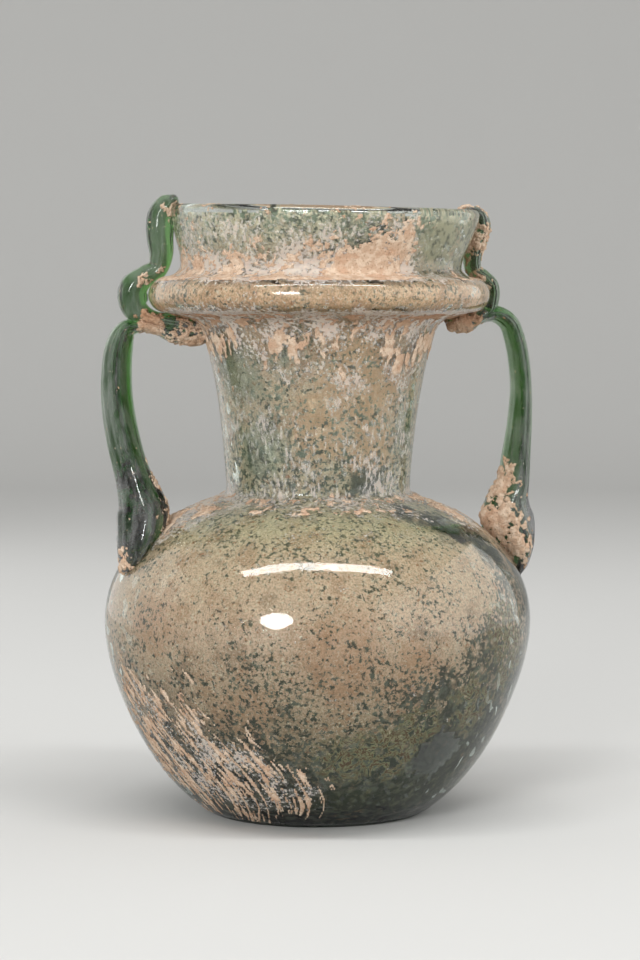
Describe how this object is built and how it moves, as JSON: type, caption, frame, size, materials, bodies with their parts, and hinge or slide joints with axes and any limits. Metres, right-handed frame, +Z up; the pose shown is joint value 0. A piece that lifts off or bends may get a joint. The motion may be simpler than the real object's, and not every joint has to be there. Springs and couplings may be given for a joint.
{
  "type": "glass jar",
  "caption": "Late Roman blown glass jar: round belly, short neck, hollow collar under a flaring cup mouth, and dark strap handles from shoulder to lip.",
  "frame": {"origin": "centre of the foot's flat underside, on the vessel's axis", "axes": "+Z up out of the mouth; the two handles lie along X, the left one towards -X; -Y is the front that is shown"},
  "size_m": [0.0877, 0.0842, 0.1209],
  "materials": {
    "vessel_glass": "glossy pale blue-green glass with buff soil crust and grey-green weathering",
    "handle_glass": "glossy dark green glass with pinkish crust in the hollows"
  },
  "bodies": {
    "root": {"vessel": "vessel_glass", "left_handle": "handle_glass", "right_handle": "handle_glass"}
  },
  "joints": []
}
